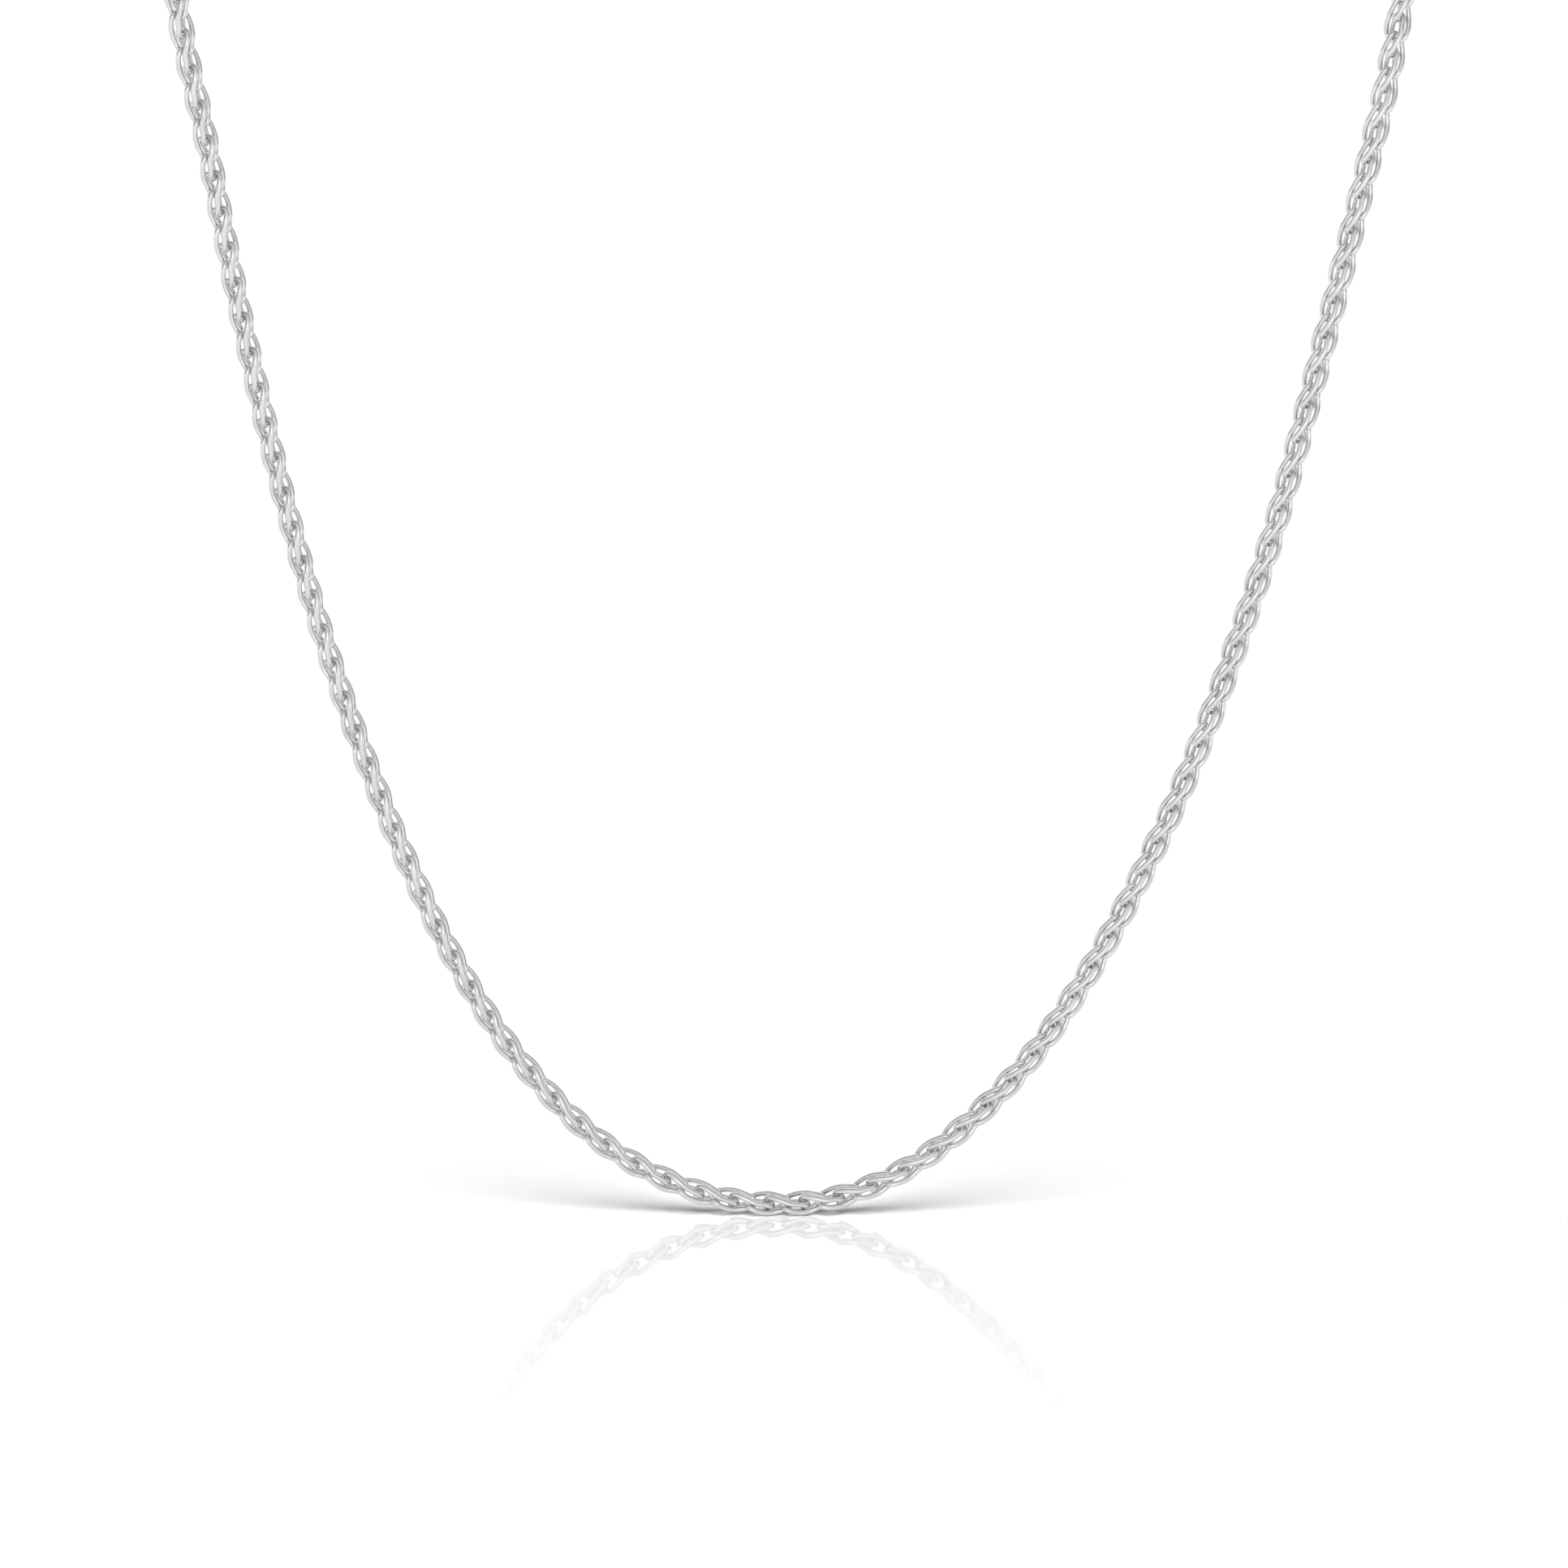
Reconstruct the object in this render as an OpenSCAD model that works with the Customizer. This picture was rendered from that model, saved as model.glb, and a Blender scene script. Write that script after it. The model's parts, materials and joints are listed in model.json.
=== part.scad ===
/* [Chain] */
// Outer width of the woven chain
chain_w = 2.8; // [2:0.1:4]
// Flats around the solid that stands for the woven chain
chain_sides = 12; // [8:1:16]
// Gap between the chain's end and its end ring
chain_gap = 0.12; // [0.1:0.02:0.3]

/* [End rings] */
// Outer diameter of the soldered ring at each end of the chain
end_ring_d = 3.4; // [3:0.1:4.4]
// Wire of the soldered end rings
end_wire = 0.64; // [0.5:0.02:0.8]

/* [Jump rings] */
// Outer diameter of the jump ring on the clasp's eye
jump_ring_d = 4.5; // [4.2:0.1:6]
// Outer diameter of the catch ring that the clasp holds
catch_ring_d = 4.9; // [4.8:0.1:6]
// Wire of the jump ring and the catch ring
jump_wire = 0.7; // [0.5:0.02:0.8]

/* [Clasp] */
// Length of the clasp
clasp_l = 11; // [10:0.5:15]
// Width of the clasp's hook end
clasp_w = 4.4; // [4.2:0.1:6]
// Width of the clasp's eye
clasp_eye_w = 2.7; // [2.5:0.1:3]
// Thickness of the clasp
clasp_t = 1.4; // [0.9:0.1:1.6]
// Width of the metal round the hook's opening
clasp_rim = 0.8; // [0.6:0.05:1]
// Width of the metal round the eye
clasp_eye_rim = 0.5; // [0.4:0.05:0.6]

/* [Fit] */
// Clearance between a ring and what it hangs in
ring_play = 0.1; // [0.1:0.02:0.16]

/* [Hidden] */
$fn = 48;

// Route of the chain's centre, seen from the front as [x, z], from the left end ring round to
// the right one. Points are chosen by hand: the first and last lie beside the clasp at the nape.
route = [
    [-24, -1.6], [-37, -5.1], [-49, -10], [-57.5, -16.3], [-62, -25], [-61.9, -35],
    [-59.1, -49], [-56.9, -61.4], [-54.4, -73.7], [-51.6, -85.9], [-48.4, -98], [-44.6, -109.9],
    [-40.2, -121.6], [-35, -133], [-28.5, -143.6], [-19.9, -152.7], [-10.4, -157.9], [-1.8, -159.4],
    [6.3, -158.3], [14.9, -153.7], [23.9, -144.9], [30.9, -134.4], [36.6, -123.3], [41.5, -111.9],
    [45.7, -100], [49.4, -88], [52.5, -75.9], [55.4, -63.7], [58.2, -51.5], [60.9, -38.5],
    [61.9, -27], [58.2, -17], [49, -10], [37, -5.1], [24, -1.6]];
// Sections of the chain's solid between two route points
route_steps = 2;

chain_r = chain_w / 2;

// How far a circle of radius r falls back at a distance half from its middle line
function fall_back(r, half) = r - sqrt(r * r - half * half);

// Places along the nape, worked out from the clasp towards both ends of the chain
eye_x = -clasp_l / 2 + clasp_eye_w / 2;
eye_hole_r = clasp_eye_w / 2 - clasp_eye_rim;
hook_x = clasp_l / 2 - clasp_w / 2;
hook_hole_r = clasp_w / 2 - clasp_rim;
jump_mean_r = (jump_ring_d - jump_wire) / 2;
catch_mean_r = (catch_ring_d - jump_wire) / 2;
end_mean_r = (end_ring_d - end_wire) / 2;
end_hole_r = end_ring_d / 2 - end_wire;
jump_fall = fall_back(jump_mean_r - jump_wire / 2, clasp_t / 2);
catch_fall = fall_back(catch_mean_r - jump_wire / 2, clasp_t / 2);
eye_seat = eye_hole_r - jump_wire / 2 - ring_play - jump_fall;
hook_seat = hook_hole_r - jump_wire / 2 - ring_play - catch_fall;
end_seat = end_hole_r - jump_wire / 2 - ring_play;
jump_x = eye_x - eye_seat - jump_mean_r;
catch_x = hook_x + hook_seat + catch_mean_r;
end_left_x = jump_x - jump_mean_r - end_seat;
end_right_x = catch_x + catch_mean_r + end_seat;
chain_left_x = end_left_x - end_ring_d / 2 - chain_gap;
chain_right_x = end_right_x + end_ring_d / 2 + chain_gap;

// The chain leaves each end ring straight along x for two chain widths
lead = 2 * chain_w;
full_route = concat(
    [[chain_left_x, 0], [chain_left_x - lead, 0]],
    route,
    [[chain_right_x + lead, 0], [chain_right_x, 0]]);

// Point at share t of the smooth curve from b to c, with a before them and d after
function curve_point(a, b, c, d, t) =
    0.5 * (2 * b + (c - a) * t + (2 * a - 5 * b + 4 * c - d) * t * t
    + (3 * b - a - 3 * c + d) * t * t * t);

// A list's entry, with the list carried on in a straight line past both of its ends
function entry(list, i) =
    i < 0 ? 2 * list[0] - list[1]
    : i >= len(list) ? 2 * list[len(list) - 1] - list[len(list) - 2]
    : list[i];

// A smooth curve through a list of points, with steps sections between two of them
function smooth(list, steps) = concat(
    [for (i = [0 : len(list) - 2], k = [0 : steps - 1])
        curve_point(entry(list, i - 1), list[i], list[i + 1], entry(list, i + 2), k / steps)],
    [list[len(list) - 1]]);

// Unit vector of the curve's direction at section i
function heading(line, i) =
    let (ahead = line[min(i + 1, len(line) - 1)], back = line[max(i - 1, 0)])
    (ahead - back) / norm(ahead - back);

// One round section of the tube: across the curve in the picture plane, and along y
function ring(line, i, r, sides) =
    let (h = heading(line, i), across = [-h[1], h[0]])
    [for (k = [0 : sides - 1])
        let (a = 360 * (k + 0.5) / sides)
        [line[i][0] + r * cos(a) * across[0], r * sin(a), line[i][1] + r * cos(a) * across[1]]];

// Closed tube of radius r along a curve in the picture plane
module tube(line, r, sides) {
    n = len(line);
    polyhedron(
        points = [for (i = [0 : n - 1]) each ring(line, i, r, sides)],
        faces = concat(
            [[for (k = [0 : sides - 1]) sides - 1 - k]],
            [for (i = [0 : n - 2], k = [0 : sides - 1])
                let (a = i * sides + k, b = i * sides + (k + 1) % sides)
                [a, b, b + sides, a + sides]],
            [[for (k = [0 : sides - 1]) (n - 1) * sides + k]]));
}

// Round wire ring in the plane of the picture, its hole running along y
module upright_ring(mean_r, wire) {
    rotate([90, 0, 0])
        rotate_extrude()
            translate([mean_r, 0])
                circle(d = wire);
}

// Round wire ring lying flat, its hole running along z
module flat_ring(mean_r, wire) {
    rotate_extrude()
        translate([mean_r, 0])
            circle(d = wire);
}

// Outline of the clasp, seen from the front
module clasp_outline() {
    hull() {
        translate([hook_x, 0])
            circle(d = clasp_w);
        translate([eye_x, 0])
            circle(d = clasp_eye_w);
    }
}

module wheat_chain() {
    color("silver")
        tube(smooth(full_route, route_steps), chain_r, chain_sides);
}

module end_ring_left() {
    color("silver")
        translate([end_left_x, 0, 0])
            upright_ring(end_mean_r, end_wire);
}

module end_ring_right() {
    color("silver")
        translate([end_right_x, 0, 0])
            upright_ring(end_mean_r, end_wire);
}

module jump_ring() {
    color("silver")
        translate([jump_x, 0, 0])
            flat_ring(jump_mean_r, jump_wire);
}

module catch_ring() {
    color("silver")
        translate([catch_x, 0, 0])
            flat_ring(catch_mean_r, jump_wire);
}

module clasp() {
    color("silver")
        difference() {
            rotate([90, 0, 0])
                linear_extrude(clasp_t, center = true)
                    clasp_outline();
            translate([eye_x, 0, 0])
                rotate([90, 0, 0])
                    cylinder(r = eye_hole_r, h = 2 * clasp_t, center = true);
            translate([hook_x, 0, 0])
                rotate([90, 0, 0])
                    cylinder(r = hook_hole_r, h = 2 * clasp_t, center = true);
        }
}

wheat_chain();
end_ring_left();
end_ring_right();
jump_ring();
catch_ring();
clasp();
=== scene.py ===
"""Wheat chain necklace: a woven chain of twisted wire links, its end rings and its clasp, in a studio.

The chain hangs as one open loop in the plane y = 0, with the clasp at the nape on the origin. Every
link is a copy of one blunt, tapered oval of round wire, twisted by about a quarter turn. The copies
are set out along the route that the chain's solid has.
"""

import json
import logging
import math
from dataclasses import dataclass
from enum import Enum

import bpy
from mathutils import Matrix, Vector

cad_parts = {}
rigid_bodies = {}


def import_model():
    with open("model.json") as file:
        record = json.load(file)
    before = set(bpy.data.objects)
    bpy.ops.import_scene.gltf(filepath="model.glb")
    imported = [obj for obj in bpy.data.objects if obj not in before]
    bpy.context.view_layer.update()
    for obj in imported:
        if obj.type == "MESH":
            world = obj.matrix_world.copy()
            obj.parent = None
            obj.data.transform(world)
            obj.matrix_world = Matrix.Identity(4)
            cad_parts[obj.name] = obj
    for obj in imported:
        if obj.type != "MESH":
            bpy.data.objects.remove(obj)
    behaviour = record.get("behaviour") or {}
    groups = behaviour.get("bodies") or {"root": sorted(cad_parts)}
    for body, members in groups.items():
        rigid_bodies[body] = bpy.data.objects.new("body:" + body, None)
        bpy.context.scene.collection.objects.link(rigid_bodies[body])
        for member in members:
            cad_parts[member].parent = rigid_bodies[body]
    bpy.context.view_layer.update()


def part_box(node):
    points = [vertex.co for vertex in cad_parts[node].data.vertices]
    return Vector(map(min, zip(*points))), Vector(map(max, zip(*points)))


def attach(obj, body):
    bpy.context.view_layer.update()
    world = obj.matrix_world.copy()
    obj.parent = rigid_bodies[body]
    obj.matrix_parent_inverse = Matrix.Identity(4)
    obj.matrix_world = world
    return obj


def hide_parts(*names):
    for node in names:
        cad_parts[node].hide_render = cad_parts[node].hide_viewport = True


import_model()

MM = 0.001
END_RING_WIRE = 0.64 * MM
JUMP_RING_WIRE = 0.7 * MM
log = logging.getLogger("wheat_chain")


# ---------------------------------------------------------------------------------------------
# Small helpers
# ---------------------------------------------------------------------------------------------


def only(piece: bpy.types.Object) -> None:
    """Select one object alone and make it active.

    Args:
        piece: The object to work on.
    """
    bpy.ops.object.select_all(action="DESELECT")
    piece.select_set(True)
    bpy.context.view_layer.objects.active = piece


def apply_places(piece: bpy.types.Object) -> None:
    """Put the object's place, turn and scale into its mesh.

    Args:
        piece: The object, which then sits at the origin.
    """
    only(piece)
    bpy.ops.object.transform_apply(location=True, rotation=True, scale=True)


def apply_modifiers(piece: bpy.types.Object) -> None:
    """Apply every modifier of a piece, in order.

    Args:
        piece: The object whose modifiers are applied.
    """
    only(piece)
    for modifier in list(piece.modifiers):
        bpy.ops.object.modifier_apply(modifier=modifier.name)


def select_vertices(piece: bpy.types.Object, chosen: list[int]) -> None:
    """Select some of a mesh's vertices, with the object in edit mode afterwards.

    Args:
        piece: The mesh object.
        chosen: The numbers of the vertices to select.
    """
    bpy.ops.object.mode_set(mode="OBJECT")
    wanted = set(chosen)
    for polygon in piece.data.polygons:
        polygon.select = False
    for edge in piece.data.edges:
        edge.select = False
    for vertex in piece.data.vertices:
        vertex.select = vertex.index in wanted
    bpy.ops.object.mode_set(mode="EDIT")
    bpy.ops.mesh.select_mode(type="VERT")


def between(table: tuple[tuple[float, float], ...], place: float) -> float:
    """Read a value between the rows of a table.

    Args:
        table: Rows of place and value, with the places rising.
        place: Where the value is read. Past the ends the end values hold.

    Returns:
        The value, on the straight line between the two rows beside the place.
    """
    if place <= table[0][0]:
        return table[0][1]
    for (low, first), (high, second) in zip(table, table[1:]):
        if place <= high:
            share = (place - low) / (high - low)
            return first + (second - first) * share
    return table[-1][1]


def flowing(table: tuple[tuple[float, float], ...], place: float) -> float:
    """Read a value from a table along a smooth curve that never swings past its rows.

    Args:
        table: Rows of place and value, with the places rising.
        place: Where the value is read, between the first row and the last.

    Returns:
        The value on the curve.
    """
    gaps = [b[0] - a[0] for a, b in zip(table, table[1:])]
    rises = [(b[1] - a[1]) / gap for a, b, gap in zip(table, table[1:], gaps)]
    slopes = [rises[0]]
    for before, after in zip(rises, rises[1:]):
        slopes.append(2 * before * after / (before + after) if before * after > 0 else 0.0)
    slopes.append(rises[-1])
    row = max(k for k in range(len(gaps)) if k == 0 or table[k][0] <= place)
    share = (place - table[row][0]) / gaps[row]
    low, high = table[row][1], table[row + 1][1]
    return (
        low + (high - low) * share * share * (3 - 2 * share)
        + slopes[row] * gaps[row] * share * (1 - share) ** 2
        - slopes[row + 1] * gaps[row] * share * share * (1 - share)
    )


# ---------------------------------------------------------------------------------------------
# Finishes
# ---------------------------------------------------------------------------------------------


class GroupName(Enum):
    """Shader node groups that more than one finish uses."""

    POLISH_MARKS = "polish_marks"
    TONE_DRIFT = "tone_drift"


def new_group(name: GroupName, inputs: dict[str, float], outputs: tuple[str, ...]) -> bpy.types.NodeTree:
    """Make an empty shader node group with named number sockets.

    Args:
        name: The group's name.
        inputs: The name and default of each input.
        outputs: The name of each output.

    Returns:
        The group's node tree, with its input and output nodes.
    """
    tree = bpy.data.node_groups.new(name.value, "ShaderNodeTree")
    for title, default in inputs.items():
        socket = tree.interface.new_socket(name=title, in_out="INPUT", socket_type="NodeSocketFloat")
        socket.default_value = default
    for title in outputs:
        tree.interface.new_socket(name=title, in_out="OUTPUT", socket_type="NodeSocketFloat")
    tree.nodes.new("NodeGroupInput").name = "in"
    tree.nodes.new("NodeGroupOutput").name = "out"
    return tree


MARK_LAYERS = (((1.0, 0.12, 1.0), 0.5), ((0.14, 1.0, 1.0), -0.35))
MARK_RANGE = (0.75, 1.3)
DRIFT_RANGE = (0.3, 0.7)


def polish_marks() -> bpy.types.NodeTree:
    """Build the fine marks that a polishing wheel leaves, as a height and a mask.

    Returns:
        The group: Scale sets the marks' fineness per metre, Height and Mask come out.
    """
    tree = new_group(GroupName.POLISH_MARKS, {"Scale": 9000.0}, ("Height", "Mask"))
    nodes, links = tree.nodes, tree.links
    places = nodes.new("ShaderNodeTexCoord")
    layers = []
    for stretch, turn in MARK_LAYERS:
        mapping = nodes.new("ShaderNodeMapping")
        mapping.inputs["Scale"].default_value = stretch
        mapping.inputs["Rotation"].default_value = (turn, turn * 0.6, turn * 1.4)
        noise = nodes.new("ShaderNodeTexNoise")
        noise.inputs["Detail"].default_value = 2.0
        noise.inputs["Roughness"].default_value = 0.6
        links.new(places.outputs["Object"], mapping.inputs["Vector"])
        links.new(mapping.outputs["Vector"], noise.inputs["Vector"])
        links.new(nodes["in"].outputs["Scale"], noise.inputs["Scale"])
        layers.append(noise)
    blend = nodes.new("ShaderNodeMath")
    blend.operation = "ADD"
    links.new(layers[0].outputs["Fac"], blend.inputs[0])
    links.new(layers[1].outputs["Fac"], blend.inputs[1])
    spread = nodes.new("ShaderNodeMapRange")
    spread.inputs["From Min"].default_value, spread.inputs["From Max"].default_value = MARK_RANGE
    links.new(blend.outputs["Value"], spread.inputs["Value"])
    links.new(blend.outputs["Value"], nodes["out"].inputs["Height"])
    links.new(spread.outputs["Result"], nodes["out"].inputs["Mask"])
    return tree


def tone_drift() -> bpy.types.NodeTree:
    """Build a slow drift over the metal, from one link or one side to the next.

    Returns:
        The group: Scale sets how fast it changes per metre, Drift comes out between 0 and 1.
    """
    tree = new_group(GroupName.TONE_DRIFT, {"Scale": 260.0}, ("Drift",))
    nodes, links = tree.nodes, tree.links
    places = nodes.new("ShaderNodeTexCoord")
    noise = nodes.new("ShaderNodeTexNoise")
    noise.inputs["Detail"].default_value = 1.5
    spread = nodes.new("ShaderNodeMapRange")
    spread.inputs["From Min"].default_value, spread.inputs["From Max"].default_value = DRIFT_RANGE
    links.new(places.outputs["Object"], noise.inputs["Vector"])
    links.new(nodes["in"].outputs["Scale"], noise.inputs["Scale"])
    links.new(noise.outputs["Fac"], spread.inputs["Value"])
    links.new(spread.outputs["Result"], nodes["out"].inputs["Drift"])
    return tree


@dataclass(frozen=True)
class PolishedMetal:
    """A polished white metal with fine wheel marks and a slow drift of tone."""

    name: str
    light_tone: tuple[float, float, float] = (0.8, 0.8, 0.805)
    dark_tone: tuple[float, float, float] = (0.72, 0.72, 0.73)
    smooth: float = 0.09
    rubbed: float = 0.18
    mark_scale: float = 9000.0
    mark_depth: float = 0.0012 * MM
    mark_strength: float = 0.35
    drift_scale: float = 260.0

    def build(self) -> bpy.types.Material:
        """Build the material from the two shared groups.

        Returns:
            The finished material.
        """
        material = bpy.data.materials.new(self.name)
        material.use_nodes = True
        nodes, links = material.node_tree.nodes, material.node_tree.links
        shader = nodes["Principled BSDF"]
        shader.inputs["Metallic"].default_value = 1.0
        marks = nodes.new("ShaderNodeGroup")
        marks.node_tree = bpy.data.node_groups[GroupName.POLISH_MARKS.value]
        marks.inputs["Scale"].default_value = self.mark_scale
        drift = nodes.new("ShaderNodeGroup")
        drift.node_tree = bpy.data.node_groups[GroupName.TONE_DRIFT.value]
        drift.inputs["Scale"].default_value = self.drift_scale
        tone = nodes.new("ShaderNodeMix")
        tone.data_type = "RGBA"
        tone.inputs["A"].default_value = (*self.light_tone, 1.0)
        tone.inputs["B"].default_value = (*self.dark_tone, 1.0)
        links.new(drift.outputs["Drift"], tone.inputs["Factor"])
        links.new(tone.outputs["Result"], shader.inputs["Base Color"])
        rough = nodes.new("ShaderNodeMapRange")
        rough.inputs["To Min"].default_value = self.smooth
        rough.inputs["To Max"].default_value = self.rubbed
        links.new(marks.outputs["Mask"], rough.inputs["Value"])
        links.new(rough.outputs["Result"], shader.inputs["Roughness"])
        bump = nodes.new("ShaderNodeBump")
        bump.inputs["Strength"].default_value = self.mark_strength
        bump.inputs["Distance"].default_value = self.mark_depth
        links.new(marks.outputs["Height"], bump.inputs["Height"])
        links.new(bump.outputs["Normal"], shader.inputs["Normal"])
        return material


@dataclass(frozen=True)
class StudioFloor:
    """A pale floor with a faint mirror in front of the chain that fades towards the viewer.

    The metal sees the floor in a tone of its own, mirrored_tone, so that its highlights stay grey.
    """

    name: str = "studio_floor"
    tone: float = 0.92
    mirrored_tone: float = 0.86
    mirror: float = 0.43
    blur: float = 0.04
    mirror_reach: float = 0.125
    mirror_fall: float = 1.3
    mirror_edge: tuple[float, float] = (-0.001, 0.001)

    def build(self) -> bpy.types.Material:
        """Build the floor's material: a plain pale ground under a weak mirror that fades forwards.

        Returns:
            The finished material.
        """
        material = bpy.data.materials.new(self.name)
        material.use_nodes = True
        nodes, links = material.node_tree.nodes, material.node_tree.links
        nodes.remove(nodes["Principled BSDF"])
        places = nodes.new("ShaderNodeTexCoord")
        split = nodes.new("ShaderNodeSeparateXYZ")
        links.new(places.outputs["Object"], split.inputs["Vector"])

        def ramp(start: float, end: float, low: float, high: float) -> bpy.types.NodeSocket:
            """Add a ramp over the distance from the chain's plane and return its output."""
            node = nodes.new("ShaderNodeMapRange")
            for title, value in (("From Min", start), ("From Max", end), ("To Min", low), ("To Max", high)):
                node.inputs[title].default_value = value
            links.new(split.outputs["Y"], node.inputs["Value"])
            return node.outputs["Result"]

        ground = nodes.new("ShaderNodeBsdfDiffuse")
        ray = nodes.new("ShaderNodeLightPath")
        tone = nodes.new("ShaderNodeMix")
        tone.data_type = "FLOAT"
        tone.inputs["A"].default_value = self.tone
        tone.inputs["B"].default_value = self.mirrored_tone
        links.new(ray.outputs["Is Glossy Ray"], tone.inputs["Factor"])
        links.new(tone.outputs["Result"], ground.inputs["Color"])
        gloss = nodes.new("ShaderNodeBsdfGlossy")
        gloss.inputs["Roughness"].default_value = self.blur
        fall = nodes.new("ShaderNodeMath")
        fall.operation = "POWER"
        fall.inputs[1].default_value = self.mirror_fall
        links.new(ramp(-self.mirror_reach, 0.0, 0.0, 1.0), fall.inputs[0])
        weak = nodes.new("ShaderNodeMath")
        weak.operation = "MULTIPLY"
        links.new(fall.outputs["Value"], weak.inputs[0])
        links.new(ramp(*self.mirror_edge, self.mirror, 0.0), weak.inputs[1])
        mix = nodes.new("ShaderNodeMixShader")
        links.new(weak.outputs["Value"], mix.inputs["Fac"])
        links.new(ground.outputs["BSDF"], mix.inputs[1])
        links.new(gloss.outputs["BSDF"], mix.inputs[2])
        links.new(mix.outputs["Shader"], nodes["Material Output"].inputs["Surface"])
        return material


# ---------------------------------------------------------------------------------------------
# The chain
# ---------------------------------------------------------------------------------------------


@dataclass(frozen=True)
class Route:
    """The chain's middle line, as [x, z] points in millimetres, as the chain's solid has it."""

    points: tuple[tuple[float, float], ...]
    steps: int = 24

    @staticmethod
    def _past(points: list[Vector], index: int) -> Vector:
        """Point of a list, carried on in a straight line past both ends."""
        if index < 0:
            return 2 * points[0] - points[1]
        if index >= len(points):
            return 2 * points[-1] - points[-2]
        return points[index]

    def line(self) -> list[Vector]:
        """Points along the smooth curve through the route.

        Returns:
            The points in metres, in the plane y = 0.
        """
        given = [Vector((x * MM, 0.0, z * MM)) for x, z in self.points]
        made = []
        for index in range(len(given) - 1):
            a, b, c, d = (self._past(given, index + k) for k in (-1, 0, 1, 2))
            for step in range(self.steps):
                t = step / self.steps
                made.append(
                    0.5 * (2 * b + (c - a) * t + (2 * a - 5 * b + 4 * c - d) * t * t
                           + (3 * b - a - 3 * c + d) * t * t * t)
                )
        return made + [given[-1]]


class Wayfinder:
    """Finds places along a line by the distance from its start."""

    def __init__(self, line: list[Vector]) -> None:
        """Measure the line.

        Args:
            line: Points along the line, in metres.
        """
        self.line = line
        self.reach = [0.0]
        for a, b in zip(line, line[1:]):
            self.reach.append(self.reach[-1] + (b - a).length)

    @property
    def length(self) -> float:
        """Length of the whole line."""
        return self.reach[-1]

    def place(self, distance: float) -> Vector:
        """Find the place at a distance along the line.

        Args:
            distance: Distance along the line from its start, in metres.

        Returns:
            The place on the line.
        """
        low, high = 0, len(self.line) - 2
        while low < high:
            middle = (low + high + 1) // 2
            if self.reach[middle] <= distance:
                low = middle
            else:
                high = middle - 1
        share = (distance - self.reach[low]) / (self.reach[low + 1] - self.reach[low])
        return self.line[low].lerp(self.line[low + 1], share)


@dataclass(frozen=True)
class WireLink:
    """One link: a blunt, tapered oval of round wire, twisted along the chain.

    The tables' places run from -1 at the upstream end to 1 at the downstream end.
    """

    length: float = 4.31 * MM
    wire: float = 0.58 * MM
    half_widths: tuple[tuple[float, float], ...] = (
        (-1.0, 1.42), (-0.6, 1.207), (-0.2, 1.094), (0.2, 0.974), (0.6, 0.793), (1.0, 0.718),
    )
    turns: tuple[tuple[float, float], ...] = (
        (-1.0, -40.4), (-0.6, -19.7), (-0.2, -2.1), (0.2, 13.6), (0.6, 19.0), (1.0, 45.0),
    )
    side_bluntness: float = 0.36
    stations: int = 18
    wire_sides: int = 8

    def half_width(self, along: float) -> float:
        """Half the oval's width at a share of its half length.

        Args:
            along: From -1 at the upstream end to 1 at the downstream end.

        Returns:
            The distance from the link's axis to the middle of its wire.
        """
        rounding = max(0.0, 1.0 - along * along) ** (self.side_bluntness / 2)
        return flowing(self.half_widths, along) * MM * rounding

    def turn(self, along: float) -> float:
        """How far the oval is twisted at a share of its half length.

        Args:
            along: From -1 at the upstream end to 1 at the downstream end.

        Returns:
            The turn about the link's axis, in radians.
        """
        return math.radians(flowing(self.turns, along))

    def places(self, fine: int = 720) -> list[float]:
        """Spread the stations evenly along the wire.

        Args:
            fine: The number of short pieces that the wire is measured in.

        Returns:
            The stations' shares of the half length, from the downstream end to the upstream one.
        """
        alongs, reach, last = [], [], None
        for index in range(fine + 1):
            along = math.cos(math.pi * index / fine)
            width, turn = self.half_width(along), self.turn(along)
            place = Vector((along * self.length / 2, width * math.cos(turn), width * math.sin(turn)))
            reach.append(reach[-1] + (place - last).length if last else 0.0)
            alongs.append(along)
            last = place
        chosen, index = [], 0
        for station in range(self.stations + 1):
            wanted = reach[-1] * station / self.stations
            while index < fine and reach[index] < wanted:
                index += 1
            chosen.append(alongs[index])
        return chosen

    def build(self, name: str) -> bpy.types.Object:
        """Model the link: a circle shaped station by station, then dressed with round wire.

        Args:
            name: The object's name.

        Returns:
            The link, lying along x round the origin.
        """
        bpy.ops.object.select_all(action="DESELECT")
        bpy.ops.mesh.primitive_circle_add(
            vertices=2 * self.stations, radius=1.0, rotation=(0.0, 0.0, math.pi / 2)
        )
        link = bpy.context.object
        link.name = name
        apply_places(link)
        points = [vertex.co.copy() for vertex in link.data.vertices]
        middle = (0.0, 0.0, 0.0)
        for station, along in enumerate(self.places()):
            level = math.cos(math.pi * station / self.stations)
            pair = [index for index, point in enumerate(points) if abs(point.x - level) < 1e-5]
            across = max(abs(points[pair[0]].y), 1e-6)
            select_vertices(link, pair)
            widen = self.half_width(along) / across
            bpy.ops.transform.resize(value=(1.0, widen, 1.0), center_override=middle)
            bpy.ops.transform.translate(value=(along * self.length / 2 - level, 0.0, 0.0))
            bpy.ops.transform.rotate(value=-self.turn(along), orient_axis="X", center_override=middle)
        bpy.ops.object.mode_set(mode="OBJECT")
        only(link)
        bpy.ops.object.convert(target="CURVE")
        link = bpy.context.object
        link.data.bevel_depth = self.wire / 2
        link.data.bevel_resolution = (self.wire_sides - 4) // 2
        bpy.ops.object.convert(target="MESH")
        link = bpy.context.object
        bpy.ops.object.shade_smooth()
        return link


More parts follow.
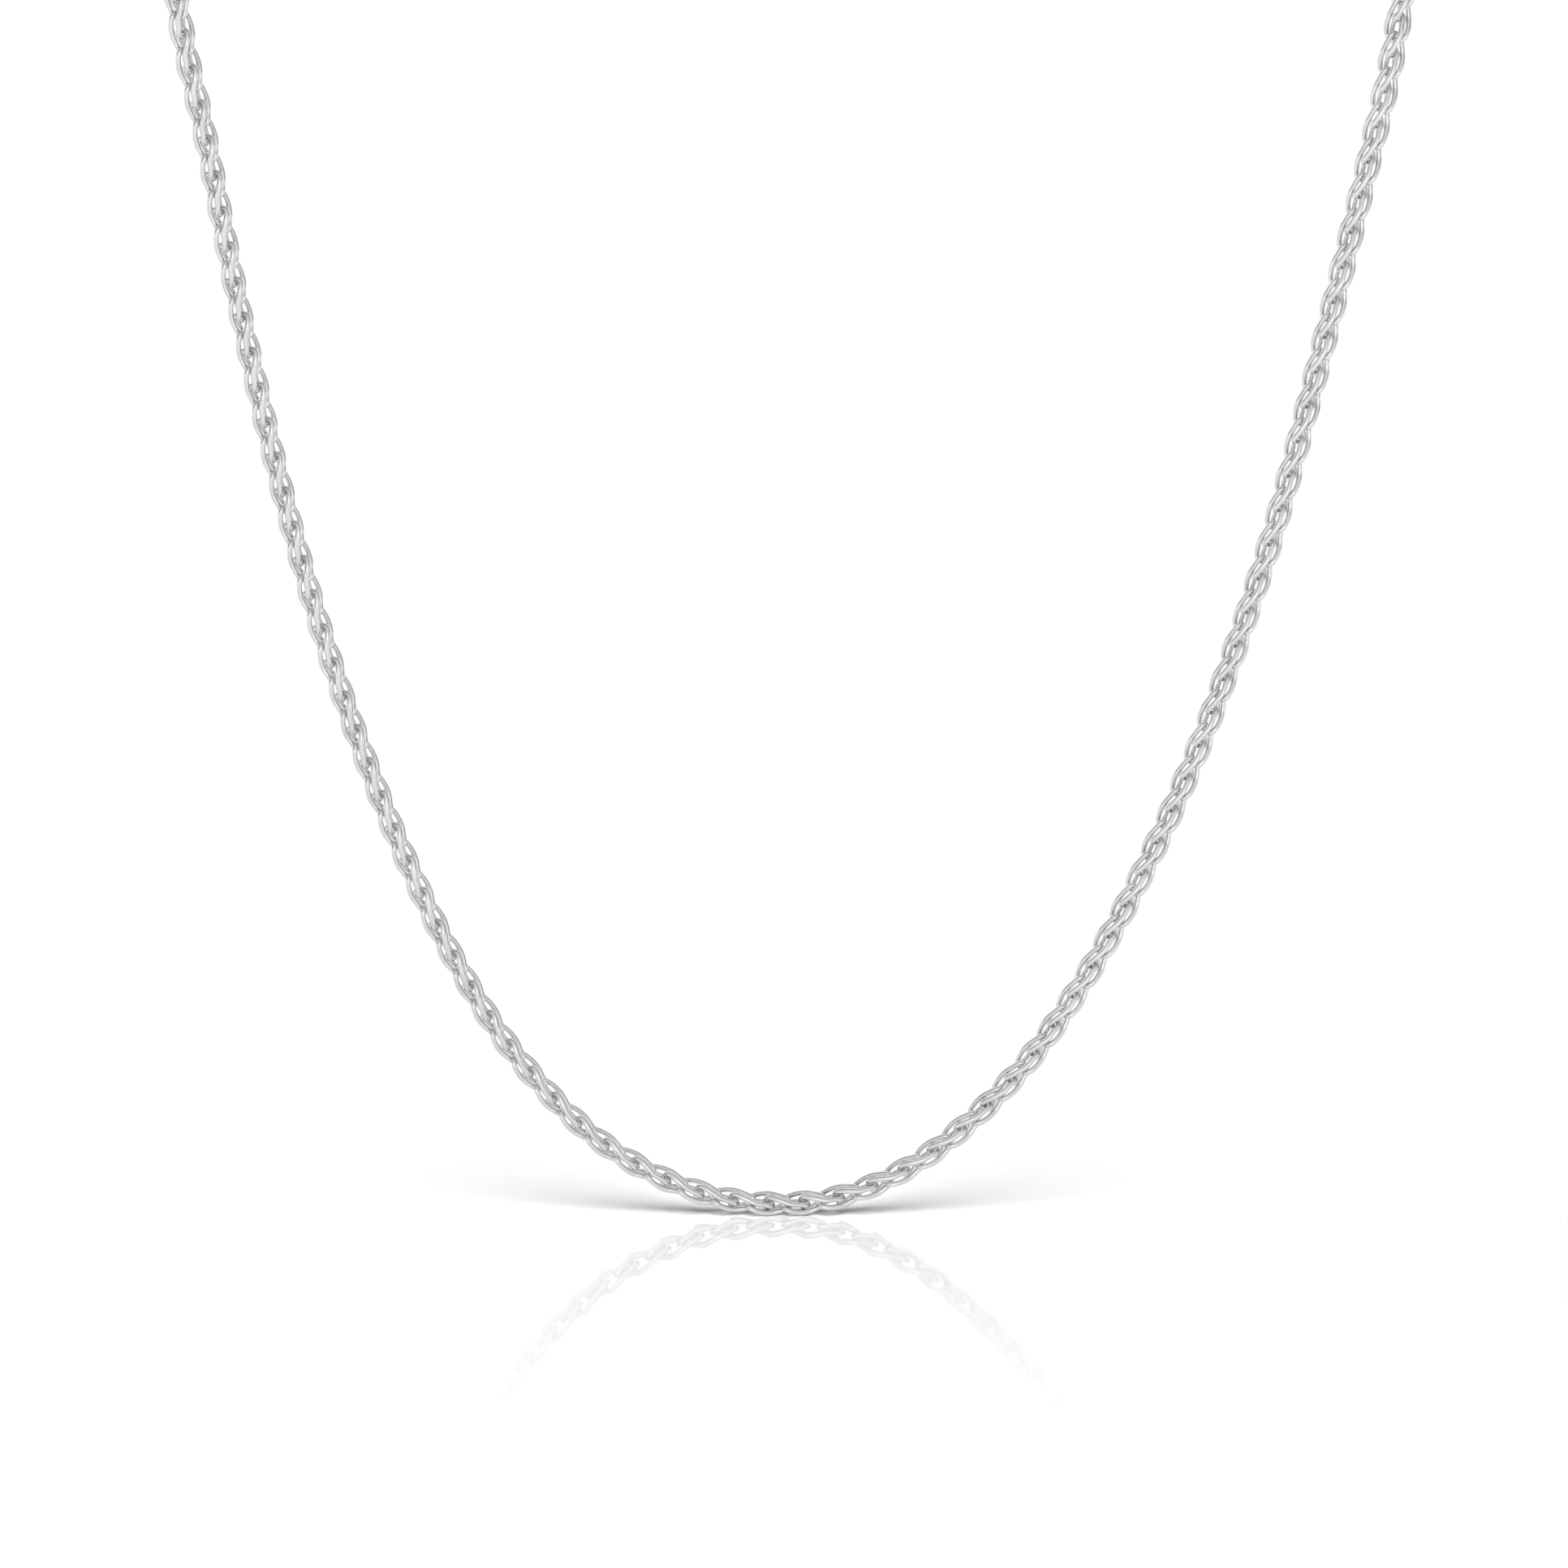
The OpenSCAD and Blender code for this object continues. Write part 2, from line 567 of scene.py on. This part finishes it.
class Stretch(Enum):
    """The chain's stretches, from the left end ring round to the right one."""

    NAPE_LEFT = "chain_nape_left"
    STRAND_LEFT = "chain_strand_left"
    LOW_END = "chain_low_end"
    STRAND_RIGHT = "chain_strand_right"
    NAPE_RIGHT = "chain_nape_right"


@dataclass
class WheatChain:
    """The woven chain: links in pairs, the second about half a period on and turned from the first.

    The rolls give the chain's turn about its own line, by the distance along it in millimetres.
    """

    metal: bpy.types.Material
    link: WireLink = WireLink()
    period: float = 3.7 * MM
    second_shift: float = 0.474
    second_turn: float = 76.2
    end_gap: float = 0.12
    lead: float = 5.6
    hook_play: float = 0.06 * MM
    grip: float = 0.9
    route: tuple[tuple[float, float], ...] = (
        (-24, -1.6), (-37, -5.1), (-49, -10), (-57.5, -16.3), (-62, -25), (-61.9, -35),
        (-59.1, -49), (-56.9, -61.4), (-54.4, -73.7), (-51.6, -85.9), (-48.4, -98), (-44.6, -109.9),
        (-40.2, -121.6), (-35, -133), (-28.5, -143.6), (-19.9, -152.7), (-10.4, -157.9), (-1.8, -159.4),
        (6.3, -158.3), (14.9, -153.7), (23.9, -144.9), (30.9, -134.4), (36.6, -123.3), (41.5, -111.9),
        (45.7, -100), (49.4, -88), (52.5, -75.9), (55.4, -63.7), (58.2, -51.5), (60.9, -38.5),
        (61.9, -27), (58.2, -17), (49, -10), (37, -5.1), (24, -1.6),
    )
    rolls: tuple[tuple[float, float], ...] = (
        (0.0, 130.4), (90.0, 76.0), (187.0, 76.0), (207.0, 68.0), (228.0, 69.0), (250.0, 84.0), (285.0, 90.0),
        (350.0, 90.0), (435.0, 148.8),
    )
    parts: tuple[tuple[Stretch, float], ...] = (
        (Stretch.NAPE_LEFT, 0.17), (Stretch.STRAND_LEFT, 0.43), (Stretch.LOW_END, 0.57),
        (Stretch.STRAND_RIGHT, 0.83), (Stretch.NAPE_RIGHT, 1.01),
    )

    def way(self) -> Wayfinder:
        """Lay out the route between the two end rings.

        Returns:
            The measured middle line, from the left ring's centre to the right ring's.
        """
        left = sum((Vector(c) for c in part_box("end_ring_left")), Vector()) / 2 / MM
        right = sum((Vector(c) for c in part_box("end_ring_right")), Vector()) / 2 / MM
        edge_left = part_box("end_ring_left")[0].x / MM - self.end_gap - self.lead
        edge_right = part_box("end_ring_right")[1].x / MM + self.end_gap + self.lead
        points = ((left.x, 0.0), (edge_left, 0.0), *self.route, (edge_right, 0.0), (right.x, 0.0))
        return Wayfinder(Route(points).line())

    def place(self, way: Wayfinder, distance: float, roll: float) -> Matrix:
        """Work out a link's place: both of its ends lie on the route, so that bends keep the hooks apart.

        Args:
            way: The measured middle line.
            distance: The link's middle along the line.
            roll: The link's turn about the line, in degrees.

        Returns:
            The matrix that carries the modelled link there.
        """
        reach = self.grip * self.link.length / 2
        ahead, back = way.place(distance + reach), way.place(distance - reach)
        middle, along = (ahead + back) / 2, (ahead - back).normalized()
        inward = Vector((-along.z, 0.0, along.x))
        facing = Vector((0.0, -1.0, 0.0))
        turn = Matrix.Rotation(math.radians(roll), 4, "X")
        axes = Matrix((along, inward, facing)).transposed().to_4x4()
        return Matrix.Translation(middle) @ axes @ turn

    def build(self) -> list[bpy.types.Object]:
        """Set the links out along the route and join them, stretch by stretch.

        Returns:
            The chain's pieces.
        """
        way = self.way()
        master = self.link.build("wire_link")
        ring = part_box("end_ring_left")
        reach = (ring[1].x - ring[0].x) / 2
        hole = reach - END_RING_WIRE
        start = hole - self.link.wire / 2 - self.hook_play + self.link.length / 2
        room = way.length - 2 * start
        pairs = round(room / self.period - self.second_shift)
        step = room / (pairs + self.second_shift)
        stations = []
        for index in range(pairs + 1):
            stations.append((start + step * index, 0.0))
            stations.append((start + step * (index + self.second_shift), self.second_turn))
        made: dict[Stretch, list[bpy.types.Object]] = {stretch: [] for stretch, _ in self.parts}
        for distance, extra in stations:
            share = distance / way.length
            stretch = next(s for s, end in self.parts if share < end)
            roll = between(self.rolls, distance / MM) + extra
            copy = bpy.data.objects.new(stretch.value, master.data.copy())
            copy.matrix_world = self.place(way, distance, roll)
            bpy.context.collection.objects.link(copy)
            made[stretch].append(copy)
        bpy.data.objects.remove(master)
        pieces = []
        for stretch, copies in made.items():
            bpy.ops.object.select_all(action="DESELECT")
            for copy in copies:
                copy.select_set(True)
            bpy.context.view_layer.objects.active = copies[0]
            bpy.ops.object.join()
            piece = bpy.context.object
            piece.name = stretch.value
            apply_places(piece)
            piece.data.materials.clear()
            piece.data.materials.append(self.metal)
            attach(piece, "root")
            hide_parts("wheat_chain")
            pieces.append(piece)
            log.info("%s: %d links", piece.name, len(copies))
        return pieces


# ---------------------------------------------------------------------------------------------
# The rings and the clasp
# ---------------------------------------------------------------------------------------------


class HoleAxis(Enum):
    """The way a ring's hole runs."""

    FRONT_TO_BACK = (math.pi / 2, 0.0, 0.0)
    UP = (0.0, 0.0, 0.0)


@dataclass
class WireRing:
    """A round wire ring, its ends closed by a fine seam."""

    node: str
    hole: HoleAxis
    wire: float
    seam_at: float
    metal: bpy.types.Material
    seam_depth: float = 0.06
    seam_reach: float = 0.55
    segments: int = 72
    wire_sides: int = 14

    def build(self) -> bpy.types.Object:
        """Model the ring in its solid's place.

        Returns:
            The ring, which replaces its solid.
        """
        low, high = (Vector(corner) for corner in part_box(self.node))
        outer = (high.x - low.x) / 2
        bpy.ops.object.select_all(action="DESELECT")
        bpy.ops.mesh.primitive_torus_add(
            major_segments=self.segments, minor_segments=self.wire_sides,
            major_radius=outer - self.wire / 2, minor_radius=self.wire / 2,
        )
        ring = bpy.context.object
        ring.name = f"{self.node}_wire"
        turn = round(self.seam_at / 360 * self.segments) * 2 * math.pi / self.segments
        way = Vector((math.cos(turn), math.sin(turn), 0.0))
        heart = way * (outer - self.wire / 2)
        near = self.wire * self.seam_reach
        seam = [v.index for v in ring.data.vertices if (v.co - heart).length < near
                and abs(v.co.cross(way).z) < 1e-6]
        select_vertices(ring, seam)
        keep = 1.0 - self.seam_depth
        bpy.ops.transform.resize(value=(keep, keep, keep), center_override=heart)
        bpy.ops.object.mode_set(mode="OBJECT")
        bpy.ops.object.shade_smooth()
        ring.rotation_euler = self.hole.value
        ring.location = (low + high) / 2
        apply_places(ring)
        ring.data.materials.append(self.metal)
        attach(ring, "root")
        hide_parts(self.node)
        log.info("%s: wire ring of %.1f mm", ring.name, 2 * outer / MM)
        return ring


@dataclass
class Clasp:
    """The hidden clasp: one pear-shaped piece with a hook opening, an eye, and a gate drawn on it."""

    metal: bpy.types.Material
    eye_width: float = 2.7 * MM
    eye_rim: float = 0.5 * MM
    rim: float = 0.8 * MM
    edge_round: float = 0.22 * MM
    groove: float = 0.12 * MM
    pin: float = 0.42 * MM
    pin_place: tuple[float, float] = (-1.3, 0.3)
    lug: float = 0.55 * MM
    lug_place: tuple[float, float] = (-0.62, 0.93)
    lug_share: float = 0.5
    gate_lines: tuple[float, float] = (38.0, 138.0)
    blade_share: float = 1.6
    sides: int = 64

    def _cylinder(self, name: str, place: Vector, radius: float, depth: float,
                  sides: int = 48) -> bpy.types.Object:
        """Add a cylinder that runs front to back.

        Args:
            name: The object's name.
            place: The middle of the cylinder.
            radius: Its radius.
            depth: Its length from front to back.
            sides: Its number of sides.

        Returns:
            The cylinder.
        """
        bpy.ops.object.select_all(action="DESELECT")
        bpy.ops.mesh.primitive_cylinder_add(
            vertices=sides, radius=radius, depth=depth, location=place, rotation=(math.pi / 2, 0.0, 0.0)
        )
        made = bpy.context.object
        made.name = name
        apply_places(made)
        return made

    @staticmethod
    def _cut(body: bpy.types.Object, tool: bpy.types.Object, way: str) -> None:
        """Join a tool to the body, or cut it away, and remove the tool.

        Args:
            body: The piece that is worked on.
            tool: The shape that is joined or cut away.
            way: The boolean's operation.
        """
        modifier = body.modifiers.new("cut", "BOOLEAN")
        modifier.operation = way
        modifier.object = tool
        modifier.solver = "EXACT"
        apply_modifiers(body)
        bpy.data.objects.remove(tool)

    def build(self) -> bpy.types.Object:
        """Model the clasp in its solid's place.

        Returns:
            The clasp, which replaces its solid.
        """
        low, high = (Vector(corner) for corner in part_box("clasp"))
        thick = high.y - low.y
        hook_radius = (high.z - low.z) / 2
        eye_radius = self.eye_width / 2
        hook = Vector((high.x - hook_radius, 0.0, 0.0))
        eye = Vector((low.x + eye_radius, 0.0, 0.0))
        body = self._cylinder("clasp_body", hook, hook_radius, thick, self.sides)
        tangent = (hook_radius - eye_radius) / (hook.x - eye.x)
        tail = [v.index for v in body.data.vertices if (v.co.x - hook.x) / hook_radius < tangent]
        select_vertices(body, tail)
        shrink = eye_radius / hook_radius
        bpy.ops.transform.resize(value=(shrink, 1.0, shrink), center_override=hook)
        bpy.ops.transform.translate(value=eye - hook)
        bpy.ops.object.mode_set(mode="OBJECT")
        self._cut(body, self._cylinder("eye_hole", eye, eye_radius - self.eye_rim, 3 * thick), "DIFFERENCE")
        opening = self._cylinder("hook_hole", hook, hook_radius - self.rim, 3 * thick)
        self._cut(body, opening, "DIFFERENCE")
        edges = body.modifiers.new("rounding", "BEVEL")
        edges.width = self.edge_round
        edges.segments = 4
        edges.limit_method = "ANGLE"
        edges.angle_limit = math.radians(50)
        apply_modifiers(body)
        pivot = hook + Vector((hook_radius * self.pin_place[0], 0.0, hook_radius * self.pin_place[1]))
        pin = self._cylinder("pivot_pin", pivot, self.pin, thick + self.groove)
        self._cut(body, pin, "UNION")
        perch = hook + Vector((hook_radius * self.lug_place[0], 0.0, hook_radius * self.lug_place[1]))
        lug = self._cylinder("lug", perch, self.lug, thick * self.lug_share)
        self._cut(body, lug, "UNION")
        middle = hook_radius - self.rim / 2
        for degrees in self.gate_lines:
            turn = math.radians(degrees)
            place = hook + Vector((math.cos(turn), 0.0, math.sin(turn))) * middle
            for side in (-1.0, 1.0):
                bpy.ops.object.select_all(action="DESELECT")
                face = place + Vector((0.0, side * thick / 2, 0.0))
                bpy.ops.mesh.primitive_cube_add(size=1.0, location=face, rotation=(0.0, -turn, 0.0))
                blade = bpy.context.object
                blade.scale = (self.rim * self.blade_share, 2 * self.groove, self.groove)
                apply_places(blade)
                self._cut(body, blade, "DIFFERENCE")
        only(body)
        bpy.ops.object.shade_smooth_by_angle(angle=math.radians(32))
        body.data.materials.clear()
        body.data.materials.append(self.metal)
        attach(body, "root")
        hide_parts("clasp")
        log.info("clasp_body: %.1f mm long", (high.x - low.x) / MM)
        return body


# ---------------------------------------------------------------------------------------------
# The studio
# ---------------------------------------------------------------------------------------------


@dataclass
class Studio:
    """A plain pale floor, soft light and a long-lens camera in front of the necklace."""

    floor_z: float = -160.57 * MM
    frame_middle: tuple[float, float] = (-0.75 * MM, -114.8 * MM)
    frame_width: float = 161.3 * MM
    floor_size: float = 12.0
    sensor: float = 36.0
    lens: float = 200.0
    elevation: float = 12.0
    key_power: float = 4.62
    key_spread: float = 52.0
    key_rise: float = 50.0
    fill_power: float = 0.02
    tent_power: float = 1.6
    tones: tuple[tuple[float, float], ...] = (
        (0.0, 0.64), (0.2, 0.77), (0.3, 0.78), (0.37, 0.4), (0.415, 0.02), (0.525, 0.02),
        (0.58, 0.32), (0.75, 0.44), (0.94, 0.5), (0.975, 0.9), (1.0, 0.9),
    )

    def camera(self) -> bpy.types.Object:
        """Set the camera up in front, a little above the floor.

        Returns:
            The camera, made the scene's own.
        """
        data = bpy.data.cameras.new("front_camera")
        data.sensor_width = self.sensor
        data.lens = self.lens
        distance = self.frame_width * self.lens / self.sensor
        data.clip_start, data.clip_end = 0.01, 100.0
        camera = bpy.data.objects.new("front_camera", data)
        bpy.context.collection.objects.link(camera)
        rise = math.radians(self.elevation)
        back = Vector((0.0, -math.cos(rise), math.sin(rise)))
        target = Vector((self.frame_middle[0], 0.0, self.frame_middle[1]))
        camera.location = target + back * distance
        camera.rotation_euler = (-back).to_track_quat("-Z", "Y").to_euler()
        bpy.context.scene.camera = camera
        return camera

    def floor(self) -> bpy.types.Object:
        """Lay the floor just under the chain's lowest link.

        Returns:
            The floor, which is stage.
        """
        bpy.ops.object.select_all(action="DESELECT")
        bpy.ops.mesh.primitive_plane_add(size=self.floor_size, location=(0.0, 0.0, self.floor_z))
        floor = bpy.context.object
        floor.name = "floor"
        floor.data.materials.append(StudioFloor().build())
        return floor

    def sun(self) -> bpy.types.Object:
        """Hang the key light: a wide soft sun that throws the contact shadow back, unseen by the metal.

        Returns:
            The light.
        """
        data = bpy.data.lights.new("front_key", "SUN")
        data.energy = self.key_power
        data.angle = math.radians(self.key_spread)
        lamp = bpy.data.objects.new("front_key", data)
        bpy.context.collection.objects.link(lamp)
        rise = math.radians(self.key_rise)
        came = Vector((0.0, -math.cos(rise), math.sin(rise)))
        lamp.rotation_euler = (-came).to_track_quat("-Z", "Y").to_euler()
        lamp.visible_glossy = False
        return lamp

    def surround(self) -> None:
        """Light the room: white to the camera, even to the floor, and a toned tent to the metal."""
        world = bpy.data.worlds.new("studio_tent")
        bpy.context.scene.world = world
        world.use_nodes = True
        nodes, links = world.node_tree.nodes, world.node_tree.links
        tent = nodes["Background"]
        tent.inputs["Strength"].default_value = self.tent_power
        places = nodes.new("ShaderNodeTexCoord")
        split = nodes.new("ShaderNodeSeparateXYZ")
        links.new(places.outputs["Generated"], split.inputs["Vector"])
        towards = nodes.new("ShaderNodeMapRange")
        towards.inputs["From Min"].default_value = 1.0
        towards.inputs["From Max"].default_value = -1.0
        links.new(split.outputs["Y"], towards.inputs["Value"])
        ramp = nodes.new("ShaderNodeValToRGB")
        links.new(towards.outputs["Result"], ramp.inputs["Fac"])
        stops = ramp.color_ramp.elements
        for stop, (position, tone) in zip(stops, (self.tones[0], self.tones[-1])):
            stop.position, stop.color = position, (tone, tone, tone, 1.0)
        for position, tone in self.tones[1:-1]:
            stops.new(position).color = (tone, tone, tone, 1.0)
        links.new(ramp.outputs["Color"], tent.inputs["Color"])
        ray = nodes.new("ShaderNodeLightPath")
        even, plain = (nodes.new("ShaderNodeBackground") for _ in range(2))
        for light in (even, plain):
            light.inputs["Color"].default_value = (1.0, 1.0, 1.0, 1.0)
        even.inputs["Strength"].default_value = self.fill_power
        first = nodes.new("ShaderNodeMixShader")
        links.new(ray.outputs["Is Diffuse Ray"], first.inputs["Fac"])
        links.new(tent.outputs["Background"], first.inputs[1])
        links.new(even.outputs["Background"], first.inputs[2])
        second = nodes.new("ShaderNodeMixShader")
        links.new(ray.outputs["Is Camera Ray"], second.inputs["Fac"])
        links.new(first.outputs["Shader"], second.inputs[1])
        links.new(plain.outputs["Background"], second.inputs[2])
        links.new(second.outputs["Shader"], nodes["World Output"].inputs["Surface"])

    def build(self) -> None:
        """Set up the camera, the floor and the light."""
        bpy.context.scene.view_settings.view_transform = "Standard"
        self.camera()
        self.floor()
        self.surround()
        self.sun()


def main() -> None:
    """Build the necklace piece by piece, then the studio round it."""
    logging.basicConfig(level=logging.INFO, format="%(message)s")
    polish_marks()
    tone_drift()
    chain_metal = PolishedMetal("chain_polish").build()
    ring_metal = PolishedMetal("ring_polish", mark_scale=7000.0, drift_scale=420.0).build()
    clasp_metal = PolishedMetal("clasp_polish", smooth=0.14, rubbed=0.26, mark_scale=5000.0).build()
    WheatChain(chain_metal).build()
    for node, hole, wire, seam_at in (
        ("end_ring_left", HoleAxis.FRONT_TO_BACK, END_RING_WIRE, 62.0),
        ("end_ring_right", HoleAxis.FRONT_TO_BACK, END_RING_WIRE, 118.0),
        ("jump_ring", HoleAxis.UP, JUMP_RING_WIRE, 75.0),
        ("catch_ring", HoleAxis.UP, JUMP_RING_WIRE, 105.0),
    ):
        WireRing(node, hole, wire, seam_at, ring_metal).build()
    Clasp(clasp_metal).build()
    Studio().build()


if __name__ == "__main__":
    main()
